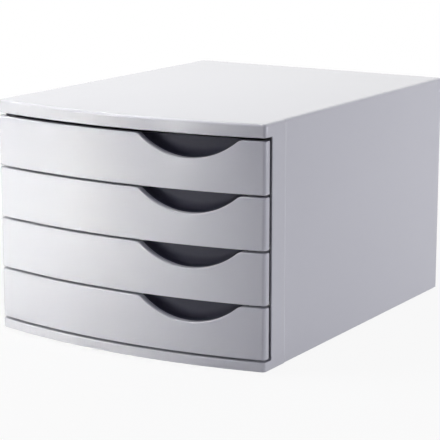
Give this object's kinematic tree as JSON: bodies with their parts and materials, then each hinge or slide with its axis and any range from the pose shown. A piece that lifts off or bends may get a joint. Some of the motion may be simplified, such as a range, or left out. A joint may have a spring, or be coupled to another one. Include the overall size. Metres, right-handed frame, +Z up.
{
  "type": "desktop file drawer",
  "caption": "Desktop drawer unit in moulded plastic: box casing with a bowed front, sliding document trays and dark crescent grip pockets.",
  "frame": {"origin": "on the table, at the level of the feet's undersides, under the centre of the whole bounding box", "axes": "+Z up, -Y out of the bowed front, +X to the right of someone who faces the drawers"},
  "size_m": [0.29, 0.375, 0.222],
  "materials": {
    "casing": "fine satin moulded polystyrene, light grey",
    "drawer_front": "fine satin moulded polystyrene, light grey",
    "tray": "smooth moulded polystyrene, light grey",
    "grip": "fine satin moulded plastic, anthracite",
    "foot": "matt"
  },
  "bodies": {
    "casing": {"casing_shell": "casing", "back_panel": "casing", "runner_left": "tray", "runner_right": "tray", "foot_front_left": "foot", "foot_front_right": "foot", "foot_back_left": "foot", "foot_back_right": "foot"},
    "drawer_1": {"drawer_1_tray": "tray", "drawer_1_front": "drawer_front", "drawer_1_grip": "grip"},
    "drawer_2": {"drawer_2_tray": "tray", "drawer_2_front": "drawer_front", "drawer_2_grip": "grip"},
    "drawer_3": {"drawer_3_tray": "tray", "drawer_3_front": "drawer_front", "drawer_3_grip": "grip"},
    "drawer_4": {"drawer_4_tray": "tray", "drawer_4_front": "drawer_front", "drawer_4_grip": "grip"}
  },
  "joints": [
    {"name": "drawer_1_slide", "type": "slide", "parent": "casing", "child": "drawer_1", "axis": [0, -1, 0], "range_m": [0, 0.27]},
    {"name": "drawer_2_slide", "type": "slide", "parent": "casing", "child": "drawer_2", "axis": [0, -1, 0], "range_m": [0, 0.27]},
    {"name": "drawer_3_slide", "type": "slide", "parent": "casing", "child": "drawer_3", "axis": [0, -1, 0], "range_m": [0, 0.27]},
    {"name": "drawer_4_slide", "type": "slide", "parent": "casing", "child": "drawer_4", "axis": [0, -1, 0], "range_m": [0, 0.27]}
  ]
}
